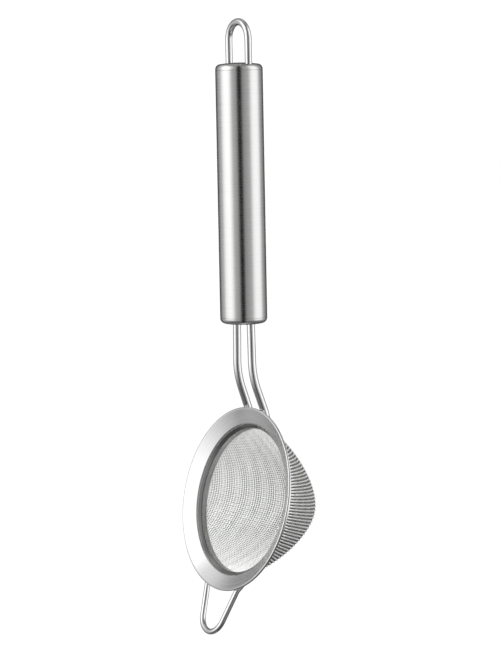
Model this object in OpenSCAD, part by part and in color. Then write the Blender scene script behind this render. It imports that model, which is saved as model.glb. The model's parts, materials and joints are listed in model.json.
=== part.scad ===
// Conical tea strainer with a tubular handle, stored hanging from its loop.
// +Z runs up along the handle, the bowl opens towards -Y and bulges towards +Y.
// The origin is the highest point inside the hanging loop, where a hook bears.

/* [Handle] */
// Outside diameter of the tubular handle
handle_d = 18; // [16:0.5:22]
// Length of the handle over both end plugs
handle_len = 99.5; // [80:0.5:130]
// Wall of the handle tube
handle_wall = 0.7; // [0.5:0.1:1.2]
// Length of each end plug that shows outside the tube
plug_head = 2.8; // [2.7:0.1:4]
// Rounding of the plug's outer corner
plug_round = 2; // [1:0.1:2]
// Length of each plug's spigot inside the tube
plug_spigot = 2; // [1:0.5:5]
// How far the middle of a plug's face is crowned
plug_crown = 0.5; // [0.2:0.1:0.6]

/* [Hanging loop] */
// Wire of the hanging loop
hang_wire_d = 2.7; // [2:0.1:3]
// Centre-line radius of the arch
hang_r = 6.6; // [5:0.1:6.8]
// Clear height between the handle's end and the inside of the arch
hang_clear = 13.9; // [10:0.1:25]
// How far wires reach into the handle
wire_grip = 15; // [8:1:30]

/* [Stems] */
// Wire of the two stems between handle and rim
stem_d = 3.1; // [2.5:0.1:3.4]
// Distance between the stems where they leave the handle
stem_gap = 9.6; // [8:0.1:11]
// Outward lean of each stem, in degrees
stem_splay = 1.3; // [0:0.1:2]
// Straight length of a stem below the handle
stem_drop = 14; // [13:0.1:15]
// Backward lean of a stem after its long bend, in degrees
stem_bend = 20; // [19:0.5:21]

/* [Rim] */
// Outside diameter of the rim
rim_d = 71.1; // [70.8:0.1:71.4]
// Backward tilt of the rim against the handle, in degrees
rim_tilt = 14; // [13:0.5:15]
// Distance from the handle's lower end down to the rim's centre
rim_drop = 66.8; // [66.5:0.1:67.1]
// Distance of the rim's centre in front of the handle's axis
rim_forward = 6.3; // [6:0.1:6.6]
// Sheet the rim is pressed from
rim_sheet = 0.6; // [0.4:0.1:0.8]
// Depth of the lip that is turned back along the outer edge
lip_depth = 1; // [0.9:0.1:1.2]
// Inside radius of the collar that holds the mesh
collar_r = 29.2; // [28.9:0.1:29.4]
// Depth of the collar's top bend below the rim's front
collar_top = 3.2; // [3:0.1:3.4]
// Depth of the collar's lower edge
collar_end = 5.6; // [5.3:0.1:5.9]
// Sheet of the inner clamping band
band_sheet = 0.3; // [0.2:0.05:0.4]
// Depth of the inner band's lower edge
band_end = 6.7; // [6.2:0.1:7]

/* [Mesh bowl] */
// Depth of the bowl's outside below the rim's front
bowl_depth = 37.2; // [35:0.2:45]
// Thickness of the woven outer support layer
support_t = 0.6; // [0.4:0.05:0.65]
// Thickness of the woven inner fine layer
fine_t = 0.35; // [0.25:0.05:0.4]
// Clearance between the two layers
layer_gap = 0.04; // [0.02:0.01:0.06]
// How soon the wall starts to lean in: 1 is a cone, 2 a dome
wall_power = 1.2; // [1.1:0.05:1.6]
// How blunt the tip is: 1 is a point, 2 a round dome
tip_power = 1.5; // [1.2:0.05:1.8]

/* [Front rest loop] */
// Wire of the front rest loop
rest_wire_d = 2.2; // [1.8:0.1:2.4]
// Reach of the loop's centre line beyond the rim
rest_reach = 16.4; // [14:0.1:22]
// Centre-line radius of the loop's tip
rest_tip_r = 7.15; // [6:0.05:8]
// Outward lean of each leg, in degrees
rest_splay = 15; // [12:0.5:16]
// Forward lean of the loop against the rim's plane, in degrees
rest_lean = 7.5; // [5:0.5:9]

/* [Hidden] */
$fn = 96;
eps = 0.02;
// How far a cut runs past what it cuts
cut = 1;
steel = [0.80, 0.80, 0.79];
wire_steel = [0.86, 0.86, 0.86];
mesh_steel = [0.72, 0.72, 0.71];
weld_steel = [0.66, 0.65, 0.63];

handle_r = handle_d / 2;
handle_top_z = -hang_clear;
handle_bottom_z = handle_top_z - handle_len;
tube_r = handle_r - handle_wall;
wire_fit = 0.04;
hang_centre_z = -hang_r + hang_wire_d / 2;

rim_r = rim_d / 2;
rim_z = handle_bottom_z - rim_drop;
flange_wall = rim_sheet / 2;
lip_mid_r = rim_r - flange_wall;
collar_mid_r = collar_r + flange_wall;
// Dish of the flange: its angle to the rim's plane
dish = atan2(collar_top - flange_wall, lip_mid_r - collar_mid_r);

bowl_top = band_end;
support_r = collar_r - layer_gap;
fine_r = support_r - support_t - layer_gap;
band_r = fine_r - fine_t - layer_gap;
band_mid_r = band_r - band_sheet / 2;
// The band's top starts just inside the collar's bend and slants in at 45 degrees
band_seat_drop = 0.25;
band_seat = [collar_r - band_sheet / 2 - eps, collar_top + band_seat_drop];
band_bend = [band_mid_r, band_seat.y + band_seat.x - band_mid_r];
// The woven layers' edge is tucked in just below the band's slant
mesh_tuck = 0.1;
mesh_edge = band_bend.y + mesh_tuck;
profile_steps = 28;

// Depth of a wire's centre line where it passes the lip at an angle to the rim's plane
function pass_depth(wire_d, angle) = lip_depth + (wire_d / 2 + eps) / cos(angle);
stem_pass = pass_depth(stem_d, stem_bend + rim_tilt);
rest_pass = pass_depth(rest_wire_d, rest_lean);
// Behind the lip both wires bend along the back of the dished flange
stem_tail = 4.2;
stem_tail_lean = dish - rim_tilt;
rest_tail = 3.2;
rest_tail_bend = dish - rest_lean;
tail_bend_r = 5;
wire_sides = 20;
bend_steps = 6;

// Where a stem's centre line passes the lip, in the plane Y, Z; its long bend is as wide as
// leads it there. The stems have splayed over about half of the drop to the rim's centre.
lip_side = stem_gap / 2 + rim_drop / 2 * tan(stem_splay);
lip_height = sqrt(rim_r * rim_r - lip_side * lip_side);
lip_pass = [-rim_forward + lip_height * sin(rim_tilt) + stem_pass * cos(rim_tilt),
            rim_z + lip_height * cos(rim_tilt) - stem_pass * sin(rim_tilt)];
stem_bend_r = ((handle_bottom_z - stem_drop - lip_pass.y) * tan(stem_bend) - lip_pass.x)
    / (1 / cos(stem_bend) - 1);
stem_bend_end = handle_bottom_z - stem_drop - stem_bend_r * sin(stem_bend);
stem_lean_run = (stem_bend_end - lip_pass.y) / cos(stem_bend);

// The rest loop's tip, and the length of its legs up to the lip
rest_centre = rest_reach - rest_tip_r;
rest_leg_start = [rest_tip_r * cos(rest_splay), rest_centre + rest_tip_r * sin(rest_splay), 0];
rest_leg_along = [sin(rest_splay), -cos(rest_splay), 0];
rest_lip_drop = 1.5;
rest_leg_run = (rest_leg_start.y + rest_lip_drop) / cos(rest_splay);

// Weld beads: their radius, and how far their centres stand off the flange's back
bead_r = 0.9;
bead_lift = 0.35;
// Share of a wire's radius at which the beads flank it
bead_flank = 0.9;
// Distance of the beads from the bowl's axis
stem_bead_r = 32.8;
rest_bead_r = 32.2;
// The rest loop's beads sit this much nearer the middle than the ends of its tails
rest_bead_shift = 0.3;
// Length of the room that a straight tail leaves in the beads beside it
tail_room = 8;

// Radius of a bowl surface at a depth, from its mouth radius and its tip depth
function bowl_r(mouth_r, tip, depth) =
    let (s = min(1, max(0, (depth - bowl_top) / (tip - bowl_top))))
    mouth_r * pow(1 - pow(s, wall_power), 1 / tip_power);

// Points of a bowl surface from the mesh edge to the tip, close together near the tip
function bowl_points(mouth_r, tip) = concat(
    [[mouth_r, mesh_edge]],
    [for (i = [0 : profile_steps])
        let (depth = tip - (tip - bowl_top) * pow(1 - i / profile_steps, 2))
        [bowl_r(mouth_r, tip, depth), depth]]);

function reversed(points) = [for (i = [len(points) - 1 : -1 : 0]) points[i]];

// Places children in the rim's frame: X across, Y down along the rim, Z into the bowl
module at_rim() {
    translate([0, -rim_forward, rim_z])
        rotate([-(90 + rim_tilt), 0, 0])
            children();
}

// Sheet section: a flat strip between two points of a turned profile, with round ends
module strip(from, to, thickness) {
    run = to - from;
    translate(from)
        rotate(atan2(run.y, run.x))
            translate([0, -thickness / 2])
                square([norm(run), thickness]);
    translate(from) circle(d = thickness);
    translate(to) circle(d = thickness);
}

function unit(v) = v / norm(v);

// Centre line of a bent wire in a plane. Heading 0 is down and turns towards the first
// axis; each move is [straight length, bend radius, bend angle].
function heading_at(angle) = [sin(angle), -cos(angle)];
function bend_centre(from, angle, radius) = from + radius * [cos(angle), sin(angle)];
function bent(from, angle, moves, i = 0) =
    i == len(moves) ? [] :
    let (run_end = from + moves[i].x * heading_at(angle))
    let (centre = bend_centre(run_end, angle, moves[i].y))
    let (turn = moves[i].z)
    let (bend = turn == 0 ? [] : [for (k = [1 : bend_steps])
        centre - moves[i].y * [cos(angle + turn * k / bend_steps), sin(angle + turn * k / bend_steps)]])
    let (end = turn == 0 ? run_end : bend[bend_steps - 1])
    concat([run_end], bend, bent(end, angle + turn, moves, i + 1));

// One ring of a wire's surface, around a point of its centre line
function ring(centre, along, side, radius) =
    let (u = unit(cross(cross(along, side), along)))
    let (v = cross(along, u))
    [for (k = [0 : wire_sides - 1])
        centre + radius * (cos(360 * k / wire_sides) * u + sin(360 * k / wire_sides) * v)];

function tangent(path, i) = unit(path[min(i + 1, len(path) - 1)] - path[max(i - 1, 0)]);

// Round wire along a centre line; side is a direction that the line never runs along
module wire(path, wire_d, side) {
    last = len(path) - 1;
    n = wire_sides;
    polyhedron(
        points = [for (i = [0 : last]) each ring(path[i], tangent(path, i), side, wire_d / 2)],
        faces = concat(
            [[for (k = [0 : n - 1]) k]],
            [[for (k = [n - 1 : -1 : 0]) last * n + k]],
            [for (i = [0 : last - 1]) for (k = [0 : n - 1])
                [i * n + k, (i + 1) * n + k, (i + 1) * n + (k + 1) % n, i * n + (k + 1) % n]]));
}

module handle_tube() {
    color(steel)
        translate([0, 0, handle_bottom_z + plug_head])
            difference() {
                cylinder(r = handle_r, h = handle_len - 2 * plug_head);
                translate([0, 0, -cut])
                    cylinder(r = tube_r, h = handle_len - 2 * plug_head + 2 * cut);
            }
}

// Half outline of an end plug with its face up: crown, rounded corner, head and spigot
crown_r = (pow(handle_r - plug_round, 2) + pow(plug_crown, 2)) / (2 * plug_crown);
crown_angle = asin((handle_r - plug_round) / crown_r);
crown_steps = 4;
round_steps = 8;
plug_outline = concat(
    [for (k = [0 : crown_steps])
        let (a = crown_angle * k / crown_steps)
        crown_r * [sin(a), cos(a) - 1]],
    [for (k = [1 : round_steps])
        let (a = 90 * k / round_steps)
        [handle_r - plug_round, -plug_crown - plug_round] + plug_round * [sin(a), cos(a)]],
    [[handle_r, -plug_head], [tube_r - wire_fit, -plug_head],
     [tube_r - wire_fit, -plug_head - plug_spigot], [0, -plug_head - plug_spigot]]);

module plug_body() {
    rotate_extrude() polygon(plug_outline);
}

module handle_plug_top() {
    color(steel)
        translate([0, 0, handle_top_z])
            difference() {
                plug_body();
                for (side = [-1, 1])
                    translate([side * hang_r, 0, -plug_head - plug_spigot - cut])
                        cylinder(d = hang_wire_d + 2 * wire_fit, h = plug_head + plug_spigot + 2 * cut);
            }
}

module handle_plug_bottom() {
    color(steel)
        difference() {
            translate([0, 0, handle_bottom_z]) mirror([0, 0, 1]) plug_body();
            for (side = [-1, 1])
                at_stem(side)
                    translate([0, 0, -cut])
                        cylinder(d = stem_d + 2 * wire_fit, h = plug_head + plug_spigot + 2 * cut);
        }
}

module hanging_loop() {
    leg = hang_centre_z - handle_top_z + wire_grip;
    color(wire_steel)
        translate([0, 0, hang_centre_z]) {
            rotate([90, 0, 0])
                rotate_extrude(angle = 180)
                    translate([hang_r, 0])
                        circle(d = hang_wire_d);
            for (side = [-1, 1])
                translate([side * hang_r, 0, -leg])
                    cylinder(d = hang_wire_d, h = leg);
        }
}

// Frame of a stem where it leaves the handle
module at_stem(side) {
    translate([side * stem_gap / 2, 0, handle_bottom_z])
        rotate([0, -side * stem_splay, 0])
            children();
}

stem_line = concat(
    [[0, handle_bottom_z + wire_grip]],
    bent([0, handle_bottom_z], 0,
         [[stem_drop, stem_bend_r, stem_bend],
          [stem_lean_run, -tail_bend_r, stem_tail_lean - stem_bend], [stem_tail, 0, 0]]));

function stem_path(side) = [for (p = stem_line)
    [side * (stem_gap / 2 + (handle_bottom_z - p.y) * tan(stem_splay)), p.x, p.y]];

module stem_wire(side) {
    color(wire_steel) wire(stem_path(side), stem_d, [1, 0, 0]);
}

module stem_wire_left() {
    stem_wire(-1);
}

module stem_wire_right() {
    stem_wire(1);
}

module rim_section() {
    lip_front = [lip_mid_r, flange_wall];
    strip([lip_mid_r, lip_depth - flange_wall], lip_front, rim_sheet);
    strip(lip_front, [collar_mid_r, collar_top], rim_sheet);
    strip([collar_mid_r, collar_top], [collar_mid_r, collar_end - flange_wall], rim_sheet);
}

module rim_flange() {
    color(steel)
        at_rim()
            rotate_extrude() rim_section();
}

module rim_inner_band() {
    color(steel)
        at_rim()
            rotate_extrude() {
                strip(band_seat, band_bend, band_sheet);
                strip(band_bend, [band_mid_r, band_end - band_sheet / 2], band_sheet);
            }
}

// Closed shell between an outer bowl surface and one that lies deeper inside it
module bowl_shell(mouth_r, tip, thickness) {
    rotate_extrude()
        polygon(concat(
            bowl_points(mouth_r, tip),
            reversed(bowl_points(mouth_r - thickness, tip - thickness))));
}

module support_mesh() {
    color(mesh_steel)
        at_rim() bowl_shell(support_r, bowl_depth, support_t);
}

module fine_mesh() {
    color(mesh_steel)
        at_rim() bowl_shell(fine_r, bowl_depth - support_t - layer_gap, fine_t);
}

// Frame of the rest loop: Y away from the rim in the loop's plane
module at_rest() {
    at_rim()
        translate([0, rim_r, rest_pass])
            rotate([-rest_lean, 0, 0])
                children();
}

// Half of the rest loop's centre line, from its tip up to its tail behind the flange
rest_half = concat(
    [for (k = [0 : bend_steps])
        let (a = 90 - (90 - rest_splay) * k / bend_steps)
        [rest_tip_r * cos(a), rest_centre + rest_tip_r * sin(a), 0]],
    [for (p = bent([0, 0], 0, [[rest_leg_run, tail_bend_r, rest_tail_bend], [rest_tail, 0, 0]]))
        rest_leg_start - p.y * rest_leg_along + [0, 0, p.x]]);

module front_rest_loop() {
    left_half = [for (i = [len(rest_half) - 1 : -1 : 1])
        [-rest_half[i].x, rest_half[i].y, rest_half[i].z]];
    color(wire_steel)
        at_rest()
            wire(concat(left_half, rest_half), rest_wire_d, [0, 0, 1]);
}

// A point off the back of the dished flange, at x across and a distance from the bowl's axis
function flange_back(x, distance, lift) =
    let (off = flange_wall + lift)
    let (out = 1 + off * sin(dish) / distance)
    [x * out, sqrt(distance * distance - x * x) * out,
     flange_wall + (lip_mid_r - distance) * tan(dish) + off * cos(dish)];

// Four beads of weld on the flange's back, on both flanks of a pair of wires
module beads(x, wire_d, distance) {
    for (side = [-1, 1])
        for (flank = [-1, 1])
            translate(flange_back(side * (x + flank * bead_flank * wire_d / 2), distance, bead_lift))
                sphere(r = bead_r);
}

module stem_tail_room(side) {
    translate(stem_path(side)[len(stem_line) - 1])
        rotate([stem_tail_lean, 0, 0])
            cylinder(d = stem_d + 2 * wire_fit, h = 2 * tail_room, center = true);
}

module stem_weld_beads() {
    color(weld_steel)
        difference() {
            at_rim()
                mirror([0, 1, 0])
                    beads(stem_path(1)[len(stem_line) - 1].x, stem_d, stem_bead_r);
            for (side = [-1, 1])
                stem_tail_room(side);
            rim_flange();
        }
}

module rest_tail_room() {
    at_rest()
        translate(rest_half[len(rest_half) - 1])
            rotate([90, 0, 180 + rest_splay])
                rotate([rest_tail_bend, 0, 0])
                    cylinder(d = rest_wire_d + 2 * wire_fit, h = 2 * tail_room, center = true);
}

module rest_weld_beads() {
    color(weld_steel)
        difference() {
            at_rim() beads(rest_half[len(rest_half) - 1].x - rest_bead_shift, rest_wire_d, rest_bead_r);
            rest_tail_room();
            mirror([1, 0, 0]) rest_tail_room();
            rim_flange();
        }
}

handle_tube();
handle_plug_top();
handle_plug_bottom();
hanging_loop();
stem_wire_left();
stem_wire_right();
stem_weld_beads();
rim_flange();
rim_inner_band();
fine_mesh();
support_mesh();
front_rest_loop();
rest_weld_beads();
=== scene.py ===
"""Looks of the hanging tea strainer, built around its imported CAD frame.

Lengths are in millimetres in the row frame, and become metres when a mesh is made.
The rim has its own frame: X across, Y down along the rim, Z into the bowl.
"""

import json
from math import atan2, cos, pi, radians, sin, tan

import bpy
import numpy as np
from mathutils import Matrix, Vector


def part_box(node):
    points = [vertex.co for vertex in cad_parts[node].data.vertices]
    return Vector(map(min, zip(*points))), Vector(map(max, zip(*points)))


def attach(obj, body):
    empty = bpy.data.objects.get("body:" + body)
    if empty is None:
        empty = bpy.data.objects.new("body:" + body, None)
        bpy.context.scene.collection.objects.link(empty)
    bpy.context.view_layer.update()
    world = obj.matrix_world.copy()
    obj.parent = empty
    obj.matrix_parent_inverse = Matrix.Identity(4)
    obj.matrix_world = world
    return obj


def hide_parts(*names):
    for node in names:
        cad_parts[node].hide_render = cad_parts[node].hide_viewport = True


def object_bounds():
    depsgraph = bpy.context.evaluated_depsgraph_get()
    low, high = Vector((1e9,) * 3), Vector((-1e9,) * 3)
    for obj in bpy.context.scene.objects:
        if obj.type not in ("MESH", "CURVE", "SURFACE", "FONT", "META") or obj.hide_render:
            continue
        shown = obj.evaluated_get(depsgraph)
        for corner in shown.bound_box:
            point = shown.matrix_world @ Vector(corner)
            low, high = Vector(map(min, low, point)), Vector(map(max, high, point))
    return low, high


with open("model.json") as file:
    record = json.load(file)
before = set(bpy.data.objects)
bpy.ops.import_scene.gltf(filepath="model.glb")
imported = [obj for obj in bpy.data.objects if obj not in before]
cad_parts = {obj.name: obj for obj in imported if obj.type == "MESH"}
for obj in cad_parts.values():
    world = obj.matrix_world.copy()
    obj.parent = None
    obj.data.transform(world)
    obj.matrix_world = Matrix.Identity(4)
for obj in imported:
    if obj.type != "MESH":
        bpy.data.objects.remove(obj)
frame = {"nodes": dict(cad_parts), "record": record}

CAD_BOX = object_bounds()
MM = 0.001
TUBE_SEGMENTS = 192
RIM_SEGMENTS = 256
WIRE_SIDES = 24
# How near its ends the extra points of a long stretch lie, by kind of piece
WIRE_GAP, SHEET_GAP, BAND_GAP = 0.3, 0.1, 0.05


# ---------------------------------------------------------------- the frame's measures

def node_points(node_name):
    """A CAD node's vertices in millimetres, one row each."""
    return np.array([v.co for v in frame["nodes"][node_name].data.vertices]) / MM


def mount_axis(name):
    """Unit direction of a mount in the row frame."""
    found = next(m for m in frame["record"]["mounts"] if m["name"] == name)
    return Vector(found["axis"]).normalized()


def rim_frame():
    """Matrix from the rim's frame to the row frame, read off the flange's own mesh."""
    into = mount_axis("cup_rest")
    across = Vector((1, 0, 0))
    down = into.cross(across)
    points = node_points("rim_flange")
    along = points @ np.array(down)
    depth = points @ np.array(into)
    centre = down * (along.max() + along.min()) / 2 + into * depth.min()
    turn = Matrix((across, down, into)).transposed()
    return Matrix.Translation(centre) @ turn.to_4x4()


RIM = rim_frame()


def in_rim(node_name):
    """Distance from the bowl's axis and depth below the rim, for each vertex of a CAD node."""
    points = node_points(node_name)
    local = (np.c_[points, np.ones(len(points))] @ np.array(RIM.inverted()).T)[:, :3]
    return np.hypot(local[:, 0], local[:, 1]), local[:, 2]


HANDLE_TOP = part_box("handle_plug_top")[1].z / MM
HANDLE_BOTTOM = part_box("handle_plug_bottom")[0].z / MM
HANDLE_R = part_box("handle_tube")[1].x / MM
TUBE_BOTTOM, TUBE_TOP = (corner.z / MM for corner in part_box("handle_tube"))
RIM_R = in_rim("rim_flange")[0].max()
COLLAR_IN_R = in_rim("rim_flange")[0].min()
COLLAR_END = in_rim("rim_flange")[1].max()
BAND_IN_R = in_rim("rim_inner_band")[0].min()
BAND_END = in_rim("rim_inner_band")[1].max()

# These repeat the design's own values, which the frame's boxes don't show
TUBE_WALL = 0.7
WIRE_GRIP = 15  # how far the hanging loop reaches into the handle
HANG_WIRE_R, HANG_ARCH_R = 1.35, 6.6
STEM_WIRE_R, STEM_DROP, STEM_LEAN, STEM_TAIL = 1.55, 14, radians(20), 4.2
REST_WIRE_R, REST_TAIL, REST_LIP_DROP = 1.1, 3.2, 1.5
REST_REACH, REST_TIP_R, REST_SPLAY, REST_LEAN = 16.4, 7.15, radians(15), radians(7.5)
LIP_DEPTH = 1.0
COLLAR_TOP = 3.2
RIM_SHEET = 0.6
BAND_SHEET, BAND_SEAT_DROP = 0.3, 0.25
RIM_TILT = radians(14)
DISH = atan2(COLLAR_TOP - RIM_SHEET / 2, RIM_R - COLLAR_IN_R - RIM_SHEET)
TAIL_BEND_R = 5
CLEAR = 0.02  # between pieces that touch


# ---------------------------------------------------------------- mesh makers

def make_piece(name, points, faces, material, slot, *replaced, place=None, sharp_deg=40):
    """A smooth mesh piece from points in millimetres, which place moves into the row frame.

    Edges sharper than sharp_deg are kept sharp, and none if it is 0."""
    if place is not None:
        points = (np.c_[points, np.ones(len(points))] @ np.array(place).T)[:, :3]
    mesh = bpy.data.meshes.new(name)
    mesh.from_pydata(points * MM, [], faces)
    mesh.polygons.foreach_set("use_smooth", [True] * len(mesh.polygons))
    mesh.update()
    if sharp_deg:
        mesh.set_sharp_from_angle(angle=radians(sharp_deg))
    piece = bpy.data.objects.new(name, mesh)
    bpy.context.scene.collection.objects.link(piece)
    piece.data.materials.append(material)
    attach(piece, "root")
    if replaced:
        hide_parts(*replaced)
    return piece


def rounded_path(corners, radii, steps=8):
    """A line through corners, each inner corner turned into an arc of its radius."""
    corners = [np.array(c, float) for c in corners]
    path = [corners[0]]
    for before, corner, after, radius in zip(corners, corners[1:], corners[2:], radii):
        arrive = (before - corner) / np.linalg.norm(before - corner)
        leave = (after - corner) / np.linalg.norm(after - corner)
        half = np.arccos(np.clip(arrive @ leave, -1, 1)) / 2
        inward = (arrive + leave) / np.linalg.norm(arrive + leave)
        centre = corner + inward * radius / sin(half)
        swing = pi / 2 - half
        side = arrive - inward * (arrive @ inward)
        side /= np.linalg.norm(side)
        for angle in np.linspace(-swing, swing, steps + 1):
            path.append(centre - radius * (inward * cos(angle) + side * sin(angle)))
    path.append(corners[-1])
    return np.array(path)


def supported(line, gap, closed=False):
    """The line with a point a gap inside both ends of each long stretch: smoothing keeps it straight."""
    ends = np.vstack([line, line[:1]]) if closed else line
    points = []
    for start, end in zip(ends, ends[1:]):
        points.append(start)
        run = np.linalg.norm(end - start)
        if run > 4 * gap:
            points += [start + (end - start) * gap / run, end - (end - start) * gap / run]
    return np.array(points if closed else points + [ends[-1]])


def directions(path):
    """Unit direction of a line at each of its points."""
    run = np.gradient(path, axis=0)
    return run / np.linalg.norm(run, axis=1, keepdims=True)


def thickened(path, thickness, end_steps=6):
    """Closed outline of a sheet section: a line given a thickness and round ends."""
    along = directions(path)
    across = np.c_[-along[:, 1], along[:, 0]]
    half = thickness / 2
    angles = np.linspace(0, pi, end_steps + 1)[1:-1, None]
    far_end = path[-1] + half * (across[-1] * np.cos(angles) + along[-1] * np.sin(angles))
    near_end = path[0] - half * (across[0] * np.cos(angles) + along[0] * np.sin(angles))
    return np.vstack([path + half * across, far_end, path[::-1] - half * across[::-1], near_end])


def turned(outline, segments):
    """Points and faces of a closed outline of radius and height, turned round the Z axis."""
    count = len(outline)
    angles = np.linspace(0, 2 * pi, segments, endpoint=False)
    radius, height = outline[:, 0], outline[:, 1]
    points = np.stack([np.outer(np.cos(angles), radius), np.outer(np.sin(angles), radius),
                       np.tile(height, (segments, 1))], axis=2).reshape(-1, 3)
    ring, spot = np.meshgrid(np.arange(segments), np.arange(count), indexing="ij")
    ring, spot = ring.ravel(), spot.ravel()
    next_ring, next_spot = (ring + 1) % segments, (spot + 1) % count
    faces = np.c_[ring * count + spot, next_ring * count + spot,
                  next_ring * count + next_spot, ring * count + next_spot]
    return points, faces


def swept(path, side, radius, sides):
    """Points and faces of a round wire with closed ends along a line, with an even number of sides.

    side is a direction across the wire, one per point or one for all."""
    along = directions(path)
    side = np.broadcast_to(side, path.shape)
    u = side - along * np.sum(side * along, axis=1, keepdims=True)
    u /= np.linalg.norm(u, axis=1, keepdims=True)
    v = np.cross(along, u)
    angles = np.linspace(0, 2 * pi, sides, endpoint=False)[None, :, None]
    points = path[:, None] + radius * (u[:, None] * np.cos(angles) + v[:, None] * np.sin(angles))
    ring, spot = np.meshgrid(np.arange(len(path) - 1), np.arange(sides), indexing="ij")
    ring, spot = ring.ravel(), spot.ravel()
    next_spot = (spot + 1) % sides
    faces = np.c_[ring * sides + spot, ring * sides + next_spot,
                  (ring + 1) * sides + next_spot, (ring + 1) * sides + spot]
    last = (len(path) - 1) * sides
    for corner in range(1, sides - 2, 2):
        near_cap = [0, corner + 2, corner + 1, corner]
        far_cap = [last, last + corner, last + corner + 1, last + corner + 2]
        faces = np.vstack([faces, near_cap, far_cap])
    return points.reshape(-1, 3), faces


def joined(parts):
    """Points and faces of several parts as one."""
    points, faces, start = [], [], 0
    for part_points, part_faces in parts:
        points.append(part_points)
        faces.append(part_faces + start)
        start += len(part_points)
    return np.vstack(points), np.vstack(faces)


# ---------------------------------------------------------------- materials

def new_material(name):
    """A new material, its node tree and its Principled shader."""
    material = bpy.data.materials.new(name)
    material.use_nodes = True
    tree = material.node_tree
    return material, tree, tree.nodes["Principled BSDF"]


def node(tree, kind, inputs=(), **settings):
    """A shader node with its settings and inputs, each input a value or a socket."""
    made = tree.nodes.new(kind)
    for key, value in settings.items():
        setattr(made, key, value)
    for key, value in dict(inputs).items():
        if isinstance(value, bpy.types.NodeSocket):
            tree.links.new(value, made.inputs[key])
        else:
            made.inputs[key].default_value = value
    return made


def maths(tree, operation, a, b=0.0):
    """A Math node's result."""
    return node(tree, "ShaderNodeMath", {0: a, 1: b}, operation=operation).outputs[0]


def spread(tree, value, low, high):
    """A noise value from 0.3 to 0.7 spread over low to high."""
    ends = {"From Min": 0.3, "From Max": 0.7, "To Min": low, "To Max": high}
    return node(tree, "ShaderNodeMapRange", {"Value": value, **ends}).outputs[0]


def noise(tree, place, scale, detail):
    """Noise of a scale, in features per metre where the place is in metres."""
    return node(tree, "ShaderNodeTexNoise", {"Vector": place, "Scale": scale, "Detail": detail}).outputs[0]


def add_relief(tree, shader, height, strength, depth_mm):
    """Bump from a height."""
    bump = node(tree, "ShaderNodeBump", {"Height": height, "Strength": strength, "Distance": depth_mm * MM})
    tree.links.new(bump.outputs[0], shader.inputs["Normal"])


def grey_of(tree, value, tint):
    """The tint times a value, as a colour."""
    return node(tree, "ShaderNodeVectorMath", {0: tint, "Scale": value}, operation="SCALE").outputs[0]


def brushed(name, tint, roughness, line_mm, edge, lathe_frame=Matrix()):
    """Steel brushed in rings round an axis, with fine lines, slow clouding and a little relief.

    edge is how much it still mirrors at a grazing angle, from 0 to 1."""
    material, tree, shader = new_material(name)
    place = node(tree, "ShaderNodeTexCoord").outputs["Object"]
    from_axis = node(tree, "ShaderNodeVectorMath", {0: place, 1: lathe_frame.translation * MM},
                     operation="SUBTRACT").outputs[0]
    round_axis = node(tree, "ShaderNodeVectorMath", {0: lathe_frame.col[2].to_3d(), 1: from_axis},
                      operation="CROSS_PRODUCT").outputs[0]
    tree.links.new(round_axis, shader.inputs["Tangent"])
    quarter_turn = 0.25
    shader.inputs["Anisotropic Rotation"].default_value = quarter_turn
    place = node(tree, "ShaderNodeMapping",
                 {"Vector": place, "Location": lathe_frame.translation * MM,
                  "Rotation": lathe_frame.to_euler()}, vector_type="TEXTURE").outputs[0]
    x, y, z = node(tree, "ShaderNodeSeparateXYZ", {0: place}).outputs
    square = maths(tree, "ADD", maths(tree, "MULTIPLY", x, x), maths(tree, "MULTIPLY", y, y))
    radius = maths(tree, "SQRT", square)
    per_line = 1 / (line_mm * MM)
    slow = 60.0
    lines_at = node(tree, "ShaderNodeCombineXYZ",
                    {0: maths(tree, "MULTIPLY", radius, per_line),
                     1: maths(tree, "MULTIPLY", z, per_line),
                     2: maths(tree, "MULTIPLY", maths(tree, "ADD", x, y), slow)}).outputs[0]
    lines = noise(tree, lines_at, 1.0, 3.0)
    clouds = noise(tree, place, 90.0, 3.0)
    shade = maths(tree, "MULTIPLY", spread(tree, lines, 0.93, 1.05), spread(tree, clouds, 0.97, 1.02))
    tree.links.new(grey_of(tree, shade, tint), shader.inputs["Base Color"])
    rough = maths(tree, "ADD", spread(tree, lines, roughness - 0.05, roughness + 0.05),
                  spread(tree, clouds, -0.02, 0.03))
    tree.links.new(rough, shader.inputs["Roughness"])
    add_relief(tree, shader, lines, 0.02, line_mm)
    shader.inputs["Metallic"].default_value = 1.0
    shader.inputs["Anisotropic"].default_value = 0.6
    shader.inputs["Specular Tint"].default_value = (edge, edge, edge, 1)
    return material


def polished(name, tint, roughness, metallic=1.0, edge=1.0):
    """Drawn wire with a soft polish, faint drawing marks and small pits.

    edge is how much it still mirrors at a grazing angle, from 0 to 1."""
    material, tree, shader = new_material(name)
    place = node(tree, "ShaderNodeTexCoord").outputs["Object"]
    marks = noise(tree, place, 900.0, 4.0)
    clouds = noise(tree, place, 120.0, 2.0)
    shade = maths(tree, "MULTIPLY", spread(tree, marks, 0.95, 1.03), spread(tree, clouds, 0.96, 1.02))
    tree.links.new(grey_of(tree, shade, tint), shader.inputs["Base Color"])
    tree.links.new(spread(tree, marks, roughness - 0.04, roughness + 0.05), shader.inputs["Roughness"])
    add_relief(tree, shader, marks, 0.02, 0.1)
    shader.inputs["Metallic"].default_value = metallic
    shader.inputs["Specular Tint"].default_value = (edge, edge, edge, 1)
    return material


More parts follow.
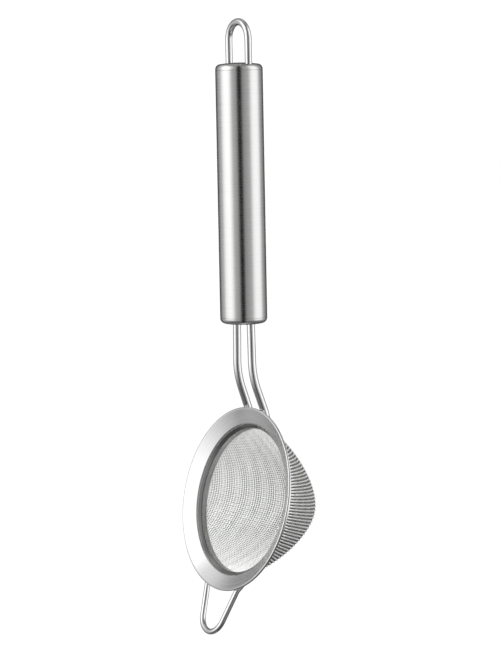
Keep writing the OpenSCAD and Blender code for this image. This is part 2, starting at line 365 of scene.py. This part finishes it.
def weld_metal(name):
    """Cleaned weld: rippled and duller, with a faint straw and blue heat tint."""
    material, tree, shader = new_material(name)
    place = node(tree, "ShaderNodeTexCoord").outputs["Object"]
    ripples = noise(tree, place, 1800.0, 4.0)
    heat = noise(tree, place, 500.0, 1.0)
    straw, blue = (0.62, 0.57, 0.48, 1), (0.52, 0.55, 0.60, 1)
    tint = node(tree, "ShaderNodeMix", {"Factor": spread(tree, heat, 0, 1), "A": straw, "B": blue},
                data_type="RGBA")
    tree.links.new(tint.outputs["Result"], shader.inputs["Base Color"])
    tree.links.new(spread(tree, ripples, 0.3, 0.5), shader.inputs["Roughness"])
    add_relief(tree, shader, ripples, 0.5, 0.2)
    shader.inputs["Metallic"].default_value = 1.0
    return material


HANDLE_STEEL = brushed("handle_steel", (0.78, 0.78, 0.775), 0.24, 0.25, 0.1)
RIM_STEEL = brushed("rim_steel", (0.80, 0.80, 0.80), 0.22, 0.2, 0.75, RIM)
# The inner band is the rim's own steel, tinted far darker as painted shade for the recess inside the
# collar.
BAND_STEEL_PAINTED_SHADE = brushed("band_steel_painted_shade", (0.38, 0.38, 0.375), 0.2, 0.3, 0.5, RIM)
WIRE_STEEL = polished("wire_steel", (0.86, 0.86, 0.86), 0.12, edge=0.1)
SUPPORT_STEEL = polished("support_steel", (0.94, 0.94, 0.93), 0.2, metallic=0.8)
FINE_STEEL = polished("fine_steel", (0.96, 0.96, 0.95), 0.35, metallic=0.15)
# The binding wires are steel tinted near black: painted shade for the dark gaps between the coarse wires.
BINDING_STEEL_PAINTED_SHADE = polished("binding_steel_painted_shade", (0.24, 0.24, 0.235), 0.3)
WELD_STEEL = weld_metal("weld_steel")


# ---------------------------------------------------------------- handle and wires

def dress_cad(node_name, material):
    """A CAD node whose shape is right gets its finished material."""
    for slot in frame["nodes"][node_name].material_slots:
        slot.material = material


def build_handle():
    """The tube, with its outer edges broken."""
    inner_r = HANDLE_R - TUBE_WALL
    edge = 0.12
    corners = [(HANDLE_R, TUBE_BOTTOM + edge), (HANDLE_R, TUBE_TOP - edge), (HANDLE_R - edge, TUBE_TOP),
               (inner_r, TUBE_TOP), (inner_r, TUBE_BOTTOM), (HANDLE_R - edge, TUBE_BOTTOM)]
    points, faces = turned(supported(np.array(corners), SHEET_GAP, closed=True), TUBE_SEGMENTS)
    make_piece("handle_sleeve", points, faces, HANDLE_STEEL, "handle_steel", "handle_tube")


def build_hanging_loop():
    """The wire loop: a half round arch on two straight legs that end inside the handle."""
    arch_z = HANG_WIRE_R - HANG_ARCH_R
    foot = HANDLE_TOP - WIRE_GRIP
    arch_points = 33
    turns = np.linspace(0, pi, arch_points)
    arch = np.c_[HANG_ARCH_R * np.cos(turns), 0 * turns, arch_z + HANG_ARCH_R * np.sin(turns)]
    path = np.vstack([[HANG_ARCH_R, 0, foot], arch, [-HANG_ARCH_R, 0, foot]])
    points, faces = swept(supported(path, WIRE_GAP), (0, 1, 0), HANG_WIRE_R, WIRE_SIDES)
    make_piece("hanging_loop_wire", points, faces, WIRE_STEEL, "wire_steel", "hanging_loop")


def build_stem(node_name):
    """A stem wire: down out of the handle, a long bend back, and a tail along the flange's back."""
    wire_r = STEM_WIRE_R
    tail_lean = DISH - RIM_TILT
    low, high = (np.array(corner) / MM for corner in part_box(node_name))
    top_x, end_x = low[0] + wire_r, high[0] - wire_r
    if high[0] < 0:
        top_x, end_x = end_x, top_x
    end = np.array([high[1] - wire_r * cos(tail_lean), low[2] + wire_r * sin(tail_lean)])
    tail_run = STEM_TAIL + TAIL_BEND_R * tan((STEM_LEAN - tail_lean) / 2)
    at_lip = end + tail_run * np.array([-sin(tail_lean), cos(tail_lean)])
    bend = np.array([0, at_lip[1] + at_lip[0] / tan(STEM_LEAN)])
    bend_r = (HANDLE_BOTTOM - STEM_DROP - bend[1]) / tan(STEM_LEAN / 2)
    flat = rounded_path([(0, high[2]), bend, at_lip, end], [bend_r, TAIL_BEND_R], steps=16)
    share = (high[2] - flat[:, 1]) / (high[2] - end[1])
    path = np.c_[top_x + (end_x - top_x) * share, flat]
    points, faces = swept(supported(path, WIRE_GAP), (1, 0, 0), wire_r, WIRE_SIDES)
    make_piece(node_name + "_drawn", points, faces, WIRE_STEEL, "wire_steel", node_name)


def build_rest_loop():
    """The loop opposite the handle: a round tip, two leaning legs and tails behind the flange."""
    tip_r, splay, lean = REST_TIP_R, REST_SPLAY, REST_LEAN
    pass_depth = LIP_DEPTH + (REST_WIRE_R + CLEAR) / cos(lean)
    place = RIM @ Matrix.Translation((0, RIM_R, pass_depth)) @ Matrix.Rotation(-lean, 4, "X")
    tip_y = REST_REACH - tip_r
    leg_start = np.array([tip_r * cos(splay), tip_y + tip_r * sin(splay), 0])
    up = np.array([sin(splay), -cos(splay), 0])
    bend = leg_start + up * (leg_start[1] + REST_LIP_DROP) / cos(splay)
    tail_turn = DISH - lean
    tail_run = REST_TAIL + TAIL_BEND_R * tan(tail_turn / 2)
    tail = bend + tail_run * (up * cos(tail_turn) + np.array([0, 0, 1]) * sin(tail_turn))
    leg = rounded_path([leg_start, bend, tail], [TAIL_BEND_R])
    tip_points = 12
    turns = np.linspace(pi / 2, splay, tip_points)[:-1]
    tip = np.c_[tip_r * np.cos(turns), tip_y + tip_r * np.sin(turns), np.zeros(len(turns))]
    half = np.vstack([tip, leg])
    path = np.vstack([(half * [-1, 1, 1])[:0:-1], half])
    points, faces = swept(supported(path, WIRE_GAP), (0, 0, 1), REST_WIRE_R, WIRE_SIDES)
    make_piece("rest_loop_wire", points, faces, WIRE_STEEL, "wire_steel", "front_rest_loop", place=place)


# ---------------------------------------------------------------- rim

def build_flange():
    """The pressed rim: a lip turned back, the dished flange and the collar."""
    half = RIM_SHEET / 2
    collar_bend_r = 0.6
    lip_r = RIM_R - half
    collar_r = COLLAR_IN_R + half
    line = rounded_path([(lip_r, LIP_DEPTH - half), (lip_r, half), (collar_r, COLLAR_TOP),
                         (collar_r, COLLAR_END - half)], [half + 0.01, collar_bend_r])
    points, faces = turned(supported(thickened(line, RIM_SHEET), SHEET_GAP, closed=True), RIM_SEGMENTS)
    make_piece("rim_flange_pressed", points, faces, RIM_STEEL, "rim_steel", "rim_flange", place=RIM)


def build_band():
    """The inner band: it slants in from just below the collar's bend, then runs along the mesh's edge."""
    half = BAND_SHEET / 2
    bend_r = 0.6
    mid_r = BAND_IN_R + half
    seat = (COLLAR_IN_R - half - CLEAR, COLLAR_TOP + BAND_SEAT_DROP)
    bend = (mid_r, seat[1] + seat[0] - mid_r)
    line = rounded_path([seat, bend, (mid_r, BAND_END - half)], [bend_r])
    points, faces = turned(supported(thickened(line, BAND_SHEET), BAND_GAP, closed=True), RIM_SEGMENTS)
    make_piece("rim_band_rolled", points, faces, BAND_STEEL_PAINTED_SHADE, "rim_steel", "rim_inner_band", place=RIM)


# ---------------------------------------------------------------- woven bowl

class Bowl:
    """A bowl surface on which flat woven cloth is draped from the tip outwards."""

    wall_power, tip_power = 1.2, 1.5
    profile_steps = 1500
    slope_reach = 0.5  # how far to each side of a point the surface's slope is measured

    def __init__(self, mouth_r, tip, edge):
        share = 1 - np.linspace(0, 1, self.profile_steps) ** 2
        radius = mouth_r * (1 - share ** self.wall_power) ** (1 / self.tip_power)
        depth = BAND_END + share * (tip - BAND_END)
        self.radius = np.append(radius, mouth_r)
        self.depth = np.append(depth, edge)
        steps = np.hypot(np.diff(self.radius), np.diff(self.depth))
        self.arc = np.append(0, np.cumsum(steps))
        self.reach = self.arc[-1]

    def drape(self, u, v, lift):
        """Where the flat cloth's points u, v lie, lifted off the surface, and the normals there."""
        arc = np.hypot(u, v)
        turn = np.arctan2(v, u)
        radius = np.interp(arc, self.arc, self.radius)
        depth = np.interp(arc, self.arc, self.depth)
        ahead = np.clip(arc + self.slope_reach, 0, self.reach)
        behind = np.clip(arc - self.slope_reach, 0, self.reach)
        slope_r = np.interp(ahead, self.arc, self.radius) - np.interp(behind, self.arc, self.radius)
        slope_d = np.interp(ahead, self.arc, self.depth) - np.interp(behind, self.arc, self.depth)
        # Near the tip the stretch behind runs on over to the far side, which adds to the radial change
        slope_r += (behind == 0) * (self.slope_reach - arc) * np.sign(slope_r)
        size = np.hypot(slope_r, slope_d)
        out_r, out_d = -slope_d / size, slope_r / size
        radius = radius + lift * out_r
        points = np.c_[radius * np.cos(turn), radius * np.sin(turn), depth + lift * out_d]
        normals = np.c_[out_r * np.cos(turn), out_r * np.sin(turn), out_d]
        return points, normals


def wires(bowl, pitch, wire_d, crimp, sides, cross, rise):
    """One direction of a weave: every wire of it, as points and faces.

    A wire has one point to each pitch, in and out by turns by the crimp; where both directions
    have the same pitch, the points are the crossings. cross turns the wires by 90 degrees and
    has them go in where the others go out. rise lifts them all."""
    parts = []
    count = int(bowl.reach / pitch)
    for k in range(-count, count):
        offset = (k + 0.5) * pitch
        half = (bowl.reach ** 2 - offset ** 2) ** 0.5
        if half < pitch:
            continue
        last = int(half / pitch - 0.5)
        along = np.hstack([-half, pitch * (np.arange(-last - 1, last + 1) + 0.5), half])
        beside = np.full_like(along, offset)
        sign = (-1) ** k * (-1 if cross else 1)
        lift = rise + crimp * sign * np.sin(pi * along / pitch)
        u, v = (beside, along) if cross else (along, beside)
        points, normals = bowl.drape(u, v, lift)
        parts.append(swept(points, normals, wire_d / 2, sides))
    return joined(parts)


def build_layer(name, bowl, material, *replaced, pitch, wire_d, crimp, sides, cross=False, rise=0):
    """The wires of one direction of a layer, as one piece."""
    points, faces = wires(bowl, pitch, wire_d, crimp, sides, cross, rise)
    make_piece(name, points, faces, material, "mesh_steel", *replaced, place=RIM, sharp_deg=0)


def build_mesh_layers():
    """Coarse bright wires outside with binding wires behind them, darkened as painted shade for the gaps,
    and a fine square weave inside.
    """
    support_r, support_tip = (measure.max() for measure in in_rim("support_mesh"))
    fine_r, fine_tip = (measure.max() for measure in in_rim("fine_mesh"))
    edge = in_rim("support_mesh")[1].min()
    support_inset, fine_inset = 0.25, 0.17  # from a CAD shell's outside to the middle of its wires
    outer = Bowl(support_r - support_inset, support_tip - support_inset, edge)
    inner = Bowl(fine_r - fine_inset, fine_tip - fine_inset, edge)
    build_layer("support_warp", outer, SUPPORT_STEEL, "support_mesh",
                pitch=1.65, wire_d=0.66, crimp=0.04, sides=12)
    # These wires carry painted shade for the gaps between the coarse wires.
    build_layer("support_weft", outer, BINDING_STEEL_PAINTED_SHADE,
                pitch=0.85, wire_d=0.56, crimp=0.04, sides=6, cross=True, rise=-0.3)
    build_layer("fine_warp", inner, FINE_STEEL, "fine_mesh",
                pitch=1.0, wire_d=0.36, crimp=0.16, sides=6)
    build_layer("fine_weft", inner, FINE_STEEL,
                pitch=1.0, wire_d=0.36, crimp=0.16, sides=6, cross=True)


# ---------------------------------------------------------------- studio and camera

CAMERA_AZIMUTH = radians(56.44)
CAMERA_ELEVATION = radians(6.22)
CAMERA_ROLL = radians(-1.10)
CAMERA_DISTANCE = 900
CAMERA_TARGET = Vector((4.2, 0, HANDLE_BOTTOM - 0.58))
FOCAL, SENSOR_WIDTH = 130.2, 36


def build_camera():
    """A long lens at the viewing angle, rolled a little."""
    a, e, roll = CAMERA_AZIMUTH, CAMERA_ELEVATION, CAMERA_ROLL
    back = Vector((sin(a) * cos(e), -cos(a) * cos(e), sin(e)))
    right = Vector((cos(a), sin(a), 0))
    up = back.cross(right)
    rolled_right = right * cos(roll) + up * sin(roll)
    rolled_up = up * cos(roll) - right * sin(roll)
    centre = CAMERA_TARGET + back * CAMERA_DISTANCE
    turn = Matrix((rolled_right, rolled_up, back)).transposed()
    camera = bpy.data.objects.new("camera", bpy.data.cameras.new("camera"))
    camera.data.sensor_width = SENSOR_WIDTH
    camera.data.lens = FOCAL
    camera.data.clip_start = 0.01
    camera.matrix_world = Matrix.Translation(centre * MM) @ turn.to_4x4()
    bpy.context.scene.collection.objects.link(camera)
    bpy.context.scene.camera = camera


def heading(degrees, rise=0):
    """Direction at an angle round from the camera's side, seen from above, and risen above level."""
    a, e = CAMERA_AZIMUTH + radians(degrees), radians(rise)
    return (sin(a) * cos(e), -cos(a) * cos(e), sin(e))


def build_studio():
    """A light tent: white all round for the eye, with soft bands and dark gaps for the metal to mirror."""
    world = bpy.data.worlds.new("studio")
    bpy.context.scene.world = world
    world.use_nodes = True
    world.cycles.sampling_method = "NONE"
    tree = world.node_tree
    background = tree.nodes["Background"]
    background.inputs["Color"].default_value = (1, 1, 1, 1)
    direction = node(tree, "ShaderNodeTexCoord").outputs["Generated"]
    x, y, z = node(tree, "ShaderNodeSeparateXYZ", {0: direction}).outputs
    level = node(tree, "ShaderNodeCombineXYZ", {0: x, 1: y}).outputs[0]
    flat = node(tree, "ShaderNodeVectorMath", {0: level}, operation="NORMALIZE").outputs[0]

    def ramp(value, low, high, strength):
        """Smooth change from nothing at low to a strength at high, which may be the lower value."""
        ends = {"From Min": low, "From Max": high, "To Min": 0.0, "To Max": strength}
        return node(tree, "ShaderNodeMapRange", {"Value": value, **ends},
                    interpolation_type="SMOOTHSTEP").outputs[0]

    def by_height(low_deg, high_deg, strength):
        """Light that comes on from one height above level to another."""
        return ramp(z, sin(radians(low_deg)), sin(radians(high_deg)), strength)

    def glow(seen_from, towards, from_deg, to_deg, strength):
        """Soft light round a direction, full within from_deg of it and gone at to_deg."""
        facing = node(tree, "ShaderNodeVectorMath", {0: seen_from, 1: towards},
                      operation="DOT_PRODUCT").outputs["Value"]
        return ramp(facing, cos(radians(to_deg)), cos(radians(from_deg)), strength)

    def band(degrees, from_deg, to_deg, strength):
        """Upright band of light."""
        return glow(flat, heading(degrees), from_deg, to_deg, strength)

    def patch(degrees, rise, from_deg, to_deg, strength):
        """Round patch of light."""
        return glow(direction, heading(degrees, rise), from_deg, to_deg, strength)

    def total(light, *others):
        """Several lights as one."""
        for other in others:
            light = maths(tree, "ADD", light, other)
        return light

    sides = total(band(-73, 2, 38, 0.68), band(-70, 2, 70, 0.25),
                  band(79, 2, 36, 0.72), band(80, 2, 75, 0.25))
    window = maths(tree, "MULTIPLY", by_height(-36, -7, 1.0), by_height(66, 45, 1.0))
    light = total(maths(tree, "MULTIPLY", sides, window),
                  patch(-62, 24, 8, 38, 0.35), patch(-108, 43, 8, 28, 0.3),
                  band(180, 8, 32, 0.2), band(-125, 6, 22, 0.14),
                  0.12, by_height(-46, -20, 0.16))
    dark_gap = band(-1, 2, 16, 0.97)
    light = maths(tree, "MULTIPLY", light, maths(tree, "SUBTRACT", 1.0, dark_gap))
    seen_white, more_on_matt = 1.05, 1.1
    ray = node(tree, "ShaderNodeLightPath").outputs
    matt = maths(tree, "ADD", seen_white, maths(tree, "MULTIPLY", ray["Is Diffuse Ray"], more_on_matt))
    seen = node(tree, "ShaderNodeMix", {"Factor": ray["Is Glossy Ray"], "A": matt, "B": light},
                data_type="FLOAT").outputs[0]
    tree.links.new(seen, background.inputs["Strength"])


def build_floor():
    """Wide pale paper under the hanging object, which the metal doesn't mirror."""
    drop, size = 0.12, 8.0
    low = CAD_BOX[0].z - drop
    mesh = bpy.data.meshes.new("floor")
    mesh.from_pydata([(-size, -size, low), (size, -size, low), (size, size, low), (-size, size, low)],
                     [], [(0, 1, 2, 3)])
    floor = bpy.data.objects.new("floor", mesh)
    bpy.context.scene.collection.objects.link(floor)
    material, tree, shader = new_material("floor_paper")
    shader.inputs["Roughness"].default_value = 0.9
    shader.inputs["Specular IOR Level"].default_value = 0.1
    place = node(tree, "ShaderNodeTexCoord").outputs["Object"]
    grain = noise(tree, place, 60.0, 2.0)
    tree.links.new(grey_of(tree, spread(tree, grain, 0.49, 0.495), (1, 1, 1)), shader.inputs["Base Color"])
    mesh.materials.append(material)
    floor.visible_glossy = False


build_camera()
build_studio()
build_floor()
bpy.context.scene.view_settings.view_transform = "Standard"
build_handle()
build_hanging_loop()
build_stem("stem_wire_left")
build_stem("stem_wire_right")
build_rest_loop()
build_flange()
build_band()
build_mesh_layers()
dress_cad("handle_plug_top", HANDLE_STEEL)
dress_cad("handle_plug_bottom", HANDLE_STEEL)
dress_cad("stem_weld_beads", WELD_STEEL)
dress_cad("rest_weld_beads", WELD_STEEL)
